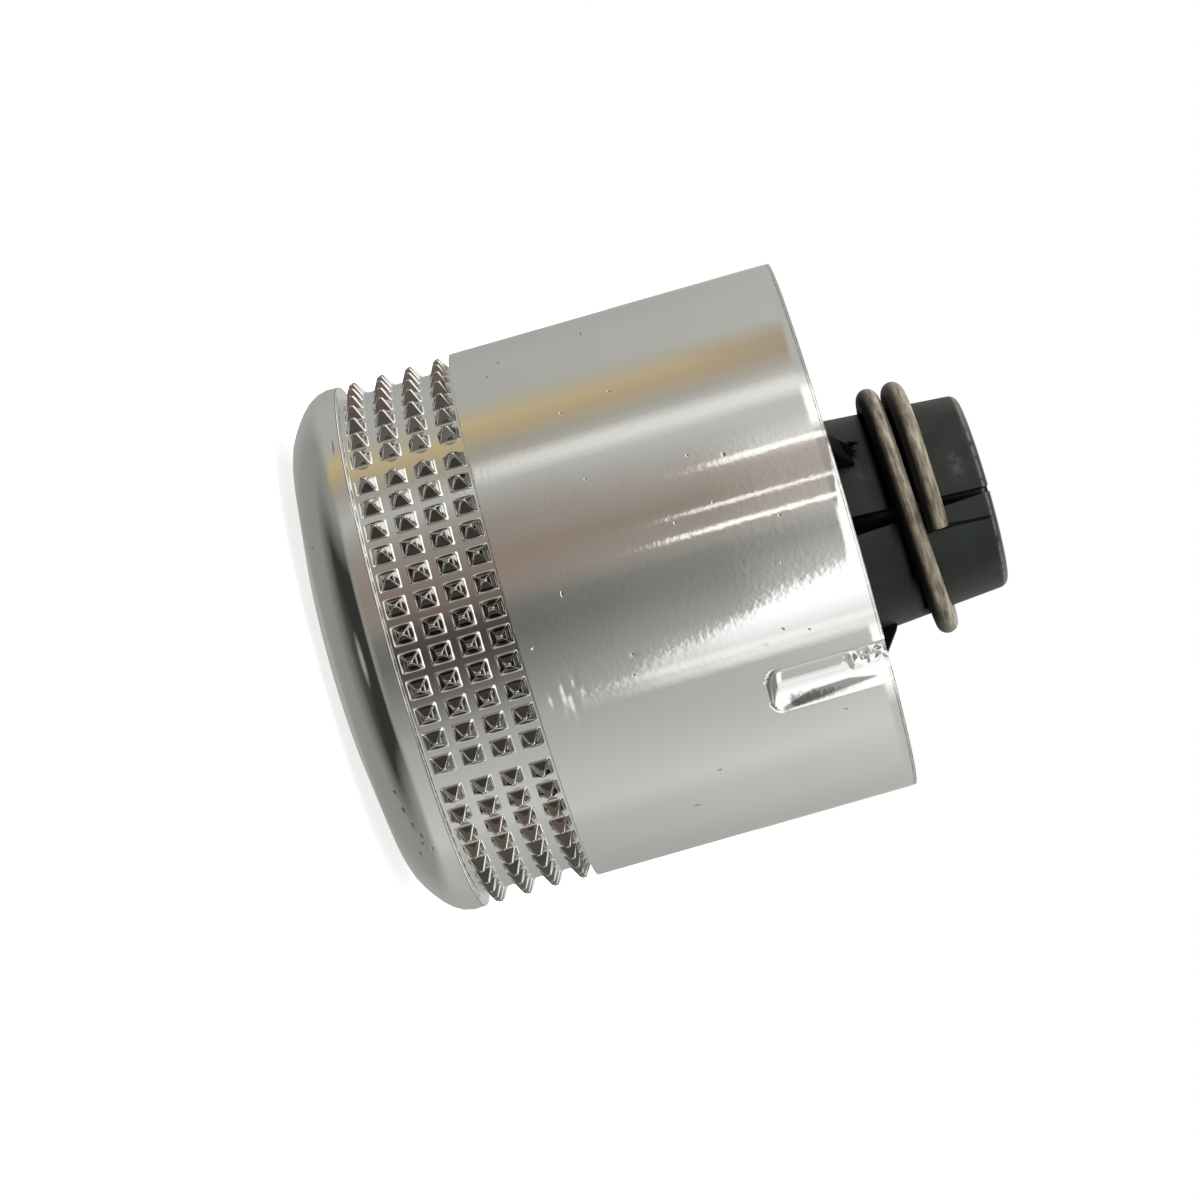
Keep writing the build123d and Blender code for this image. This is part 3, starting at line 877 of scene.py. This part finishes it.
# %% Give each piece its finish
for material, pieces in (
    (plating, (shell, teeth)),
    (black_plastic, (hub_disc, collet_piece, slot_web, gussets)),
    (wire_steel, (spring_ring,)),
):
    for piece in pieces:
        piece.data.materials.append(material)
    print(material.name, "on", [piece.name for piece in pieces])

# %% [markdown]
# ## Floor
# The knob stands on a pale floor. To the camera the floor also glows a little, so that it is as light as the
# room behind it, and only the knob's shadow shows. Reflections don't see the floor: under a mirror-bright
# knob it would hide the room below.

# %% Floor
FLOOR_GLOW = 0.72
bpy.ops.mesh.primitive_plane_add(size=4.0, location=(0, 0, 0))
floor = bpy.context.object
floor.name = "floor"
floor.visible_glossy = False
floor.visible_diffuse = False
floor_paint = bpy.data.materials.new("pale floor")
floor_paint.use_nodes = True
tree = floor_paint.node_tree
tree.nodes.remove(tree.nodes["Principled BSDF"])
diffuse = add_node(tree, "BsdfDiffuse", {"Color": (0.85, 0.85, 0.85)})
camera_ray = add_node(tree, "LightPath", {}).outputs["Is Camera Ray"]
glow = add_node(tree, "Emission", {"Strength": math_node(tree, "MULTIPLY", camera_ray, FLOOR_GLOW)})
both = add_node(tree, "AddShader", {0: diffuse.outputs[0], 1: glow.outputs[0]})
tree.links.new(both.outputs[0], tree.nodes["Material Output"].inputs["Surface"])
floor.data.materials.append(floor_paint)
print("floor:", floor.name, [round(v, 2) for v in floor.dimensions])

# %% [markdown]
# ## The room
# Metal shows what stands round it, so the room matters: in a reflection it isn't plain white but a ring of
# grey panels, with a brighter window, a dark gap where the viewer stands, and a strip of pale wood. It could
# be built from panels and lamps, but painting it on the sky is lighter and casts no odd shadows. The nodes
# turn the direction of a ray into an angle round the knob and a rise, which is the direction's Z, and look
# the brightness up on a ramp.

# %% The direction of a ray, and sums on it
world = bpy.context.scene.world or bpy.data.worlds.new("room")
bpy.context.scene.world = world
world.use_nodes = True
world.cycles.sampling_method = "NONE"
sky = world.node_tree

direction = add_node(sky, "TexCoord", {}).outputs["Generated"]
direction = add_node(sky, "Mapping", {"Vector": direction, "Rotation": (0, 0, -FACING)}).outputs["Vector"]
split = add_node(sky, "SeparateXYZ", {"Vector": direction})
forward, sideways, rise = (split.outputs[k] for k in "XYZ")


def times(a, b, clamp=False):
    """a times b, in the sky's tree."""
    return math_node(sky, "MULTIPLY", a, b, clamp)


def climb(value, start, steepness):
    """0 below start, then a straight climb to 1: (value - start) * steepness, clamped."""
    return times(math_node(sky, "SUBTRACT", value, start), steepness, clamp=True)


def fall(value, end, steepness):
    """1, then a straight fall to 0 at end: (end - value) * steepness, clamped."""
    return times(math_node(sky, "SUBTRACT", end, value), steepness, clamp=True)


round_angle = math_node(sky, "ARCTAN2", sideways, forward)
round_place = math_node(sky, "ADD", math_node(sky, "DIVIDE", round_angle, 2 * np.pi), 0.5)
degrees = times(round_angle, 180 / np.pi)
print("nodes so far:", len(sky.nodes))

# %% Rings of panels
# They stand just below eye level, at it, just above it and higher up, all the way round. A stop is an angle
# in degrees from the viewer and a colour, or a grey, which is a little short of blue.
GREY_BLUE = 0.95


def panel_ring(panels):
    """The room's brightness by angle round the knob, from (degrees, colour or grey) stops."""
    colours = [(a, c if isinstance(c, tuple) else (c, c, c * GREY_BLUE)) for a, c in panels]
    return ramp(sky, round_place, [(0.5 + a / 360, c) for a, c in colours])


low_ring = panel_ring([
    (-180, 0.40), (-157, 0.47), (-130, 0.60), (-108, 0.61), (-97, (0.66, 0.60, 0.46)),
    (-91, (0.77, 0.64, 0.37)), (-83, (0.66, 0.54, 0.33)), (-75, (0.53, 0.49, 0.41)),
    (-69, (0.58, 0.56, 0.49)), (-58, 0.67), (-50, (0.54, 0.51, 0.46)), (-42, (0.45, 0.41, 0.36)),
    (-33, (0.43, 0.365, 0.315)), (-26, (0.41, 0.33, 0.28)), (-15, (0.41, 0.34, 0.295)),
    (-9, (0.35, 0.315, 0.265)), (-4, 0.25), (4, 0.22), (9, 0.24), (17, 0.30), (25, 0.375), (33, 0.455),
    (42, 0.58), (58, 0.68), (75, 0.78), (92, 0.84), (105, 0.70), (124, 0.64), (157, 0.47), (180, 0.40),
])
middle_ring = panel_ring([
    (-180, 0.43), (-157, 0.50), (-130, 0.63), (-108, 0.66), (-98, (0.66, 0.61, 0.50)),
    (-91, (0.74, 0.60, 0.36)), (-83, (0.66, 0.53, 0.34)), (-75, (0.58, 0.54, 0.46)), (-69, 0.70),
    (-58, 0.80), (-50, 0.66), (-42, (0.60, 0.55, 0.50)), (-34, (0.52, 0.45, 0.40)),
    (-26, (0.42, 0.36, 0.30)), (-15, (0.50, 0.45, 0.40)), (-8, (0.46, 0.44, 0.39)), (-4, 0.35), (2, 0.335),
    (9, 0.37), (17, 0.46), (25, 0.58), (33, 0.68), (58, 0.70), (75, 0.80), (92, 0.92), (105, 0.80),
    (124, 0.73), (157, 0.52), (180, 0.43),
])
high_ring = panel_ring([
    (-180, 0.46), (-157, 0.54), (-130, 0.66), (-104, 0.70), (-98, (0.64, 0.59, 0.50)),
    (-92, (0.58, 0.48, 0.34)), (-82, (0.57, 0.48, 0.35)), (-75, (0.64, 0.60, 0.53)), (-67, 0.90),
    (-58, 0.80), (-50, 0.84), (-41, 1.15), (-34, (0.68, 0.60, 0.54)), (-26, (0.66, 0.58, 0.53)),
    (-10, (0.74, 0.69, 0.64)), (-4, 0.56), (0, 0.52), (9, 0.74), (17, 0.86), (33, 0.90), (52, 0.75),
    (62, 0.82), (75, 0.86), (92, 0.95), (110, 0.84), (124, 0.77), (157, 0.56), (180, 0.46),
])
upper_ring = panel_ring([
    (-180, 0.60), (-75, 0.70), (-64, 0.80), (-60, 1.8), (-46, 1.8), (-40, (0.62, 0.55, 0.50)),
    (-24, (0.50, 0.45, 0.42)), (-10, (0.50, 0.46, 0.43)), (-6, 1.7), (24, 1.8), (46, 1.7), (72, 1.6),
    (84, 0.8), (180, 0.60),
])
ring = mix_colour(sky, climb(rise, -0.05, 20.0), low_ring, middle_ring)
ring = mix_colour(sky, climb(rise, 0.007, 33.0), ring, high_ring)
ring = mix_colour(sky, climb(rise, 0.05, 30.0), ring, upper_ring)
print("nodes with the rings:", len(sky.nodes))

# %% The window and the thin lights
# The window's near edge leans, so it is wider higher up. It fades below and towards its far edge.
leaning = math_node(sky, "ADD", degrees, times(rise, 330.0))
window = times(times(climb(leaning, 26.2, 2.0), fall(degrees, 46.0, 0.3)), climb(rise, -1 / 22, 22.0))
ring = mix_colour(sky, window, ring, mix_colour(sky, climb(degrees, 26.0, 0.1), 1.75, 1.27))


def bright_line(angle, half_width, soft, start, level):
    """A thin upright light, angle degrees from the viewer, fading over soft degrees, from a rise upwards."""
    off = math_node(sky, "ABSOLUTE", math_node(sky, "SUBTRACT", degrees, angle))
    return times(times(fall(off, half_width, 1 / soft), climb(rise, start, 150.0)), level)


for angle, half_width, soft, start, level in (
    (-12.7, 1.25, 0.6, -0.012, 1.0), (-21.6, 1.0, 0.6, -0.006, 0.9), (-39.0, 1.7, 0.8, 0.006, 0.95),
    (38.5, 2.0, 1.0, -0.036, 0.35), (-64.0, 6.5, 5.0, -0.06, 0.36),
):
    ring = mix_colour(sky, bright_line(angle, half_width, soft, start, level), ring, (1.75, 1.72, 1.66))
print("nodes with the window and lights:", len(sky.nodes))

# %% Above and below
# Higher up the room is bright, and calmer straight overhead, so that the rim seen from above stays grey.
# Below it is grey, with a dark gap under the viewer. The gap follows a lens shape, higher to the sides and
# softer at its lower side, and a small light stands in it.
overhead = panel_ring([(-180, 1.9), (30, 1.9), (42, 0.35), (100, 0.35), (112, 1.9), (180, 1.9)])
overhead = mix_colour(sky, climb(rise, 0.88, 12.0), overhead, (0.95, 0.95, 0.92))

lens = math_node(sky, "SUBTRACT", rise, times(times(sideways, sideways), 0.17))
gap_height = times(fall(lens, -0.55, 12.0), climb(lens, -1.35, 2.4))
to_side = math_node(sky, "ABSOLUTE", sideways)
gap_width = times(fall(to_side, 0.80, 3.5), climb(forward, -0.40, 2.2))
underneath = mix_colour(sky, times(gap_height, gap_width), (0.40, 0.40, 0.375), (0.055, 0.052, 0.046))
from_light = add_node(sky, "VectorMath", {0: direction, 1: (0.34, 0.0, -0.94)}, operation="DISTANCE")
underneath = mix_colour(sky, fall(from_light.outputs["Value"], 0.16, 9.0), underneath, (0.50, 0.49, 0.46))

room = mix_colour(sky, climb(rise, 0.28, 8.0), ring, overhead)
room = mix_colour(sky, fall(rise, -0.32, 5.0), room, underneath)
print("nodes in the whole room:", len(sky.nodes))

# %% What each kind of ray sees
# The camera sees a white room. Dull surfaces are lit by a plain one, darker below than above.
rays = add_node(sky, "LightPath", {})
plain = math_node(sky, "ADD", times(rise, 0.5), 0.5)
room = mix_colour(sky, rays.outputs["Is Diffuse Ray"], room, mix_colour(sky, plain, 0.0, 1.0))
room = mix_colour(sky, rays.outputs["Is Camera Ray"], room, (1.0, 1.0, 1.0))
background = sky.nodes["Background"]
sky.links.new(room, background.inputs["Color"])
background.inputs["Strength"].default_value = 1.0
print("the room has", len(sky.nodes), "nodes")

# %% [markdown]
# ## Lamp
# One soft lamp models the black plastic and gives the knob its shadow on the floor. The plating doesn't
# mirror it, because a square of light would show there.

# %% Lamp
lamp_data = bpy.data.lights.new("soft lamp", "AREA")
lamp_data.size, lamp_data.energy = 0.20, 2.6
lamp = bpy.data.objects.new("soft lamp", lamp_data)
bpy.context.collection.objects.link(lamp)
lamp.location = (-0.28, -0.22, 0.46)
lamp.rotation_mode = "QUATERNION"
lamp.rotation_quaternion = (-Vector(lamp.location)).to_track_quat("-Z", "Y")
lamp.visible_glossy = False
print("the lamp is", round(Vector(lamp.location).length, 2), "m away")

# %% [markdown]
# ## Camera
# The camera looks at the knob's side from 165 mm, level with the skirt. It is rolled, so that the shaft's
# axis climbs to the right. The roll is built into the camera's own right and up directions, and a shift of
# the lens frames the knob without turning the camera.

# %% Camera
DISTANCE, AXIS_Z, ROLL, FOCAL = 165.0, 17.41, np.radians(15.93), 2.9697
to_camera = Vector(around_z(1, FACING, 0))
axis = Vector((0, 0, 1))
tangent = axis.cross(to_camera)
lift, level = float(np.sin(ROLL)), float(np.cos(ROLL))
right = axis * level + tangent * lift
up_way = axis * lift - tangent * level
camera_data = bpy.data.cameras.new("camera")
camera_data.sensor_width, camera_data.lens = 36.0, 36.0 * FOCAL
camera_data.shift_x, camera_data.shift_y = -0.08833, -0.03117
camera_data.clip_start, camera_data.clip_end = 0.01, 20
camera = bpy.data.objects.new("camera", camera_data)
bpy.context.collection.objects.link(camera)
stand = to_camera * DISTANCE * MM + axis * AXIS_Z * MM
facing_knob = Matrix((right, up_way, to_camera)).transposed().to_4x4()
camera.matrix_world = Matrix.Translation(stand) @ facing_knob
bpy.context.scene.camera = camera
bpy.context.scene.view_settings.view_transform = "Standard"
print("lens in mm:", round(camera_data.lens, 1))
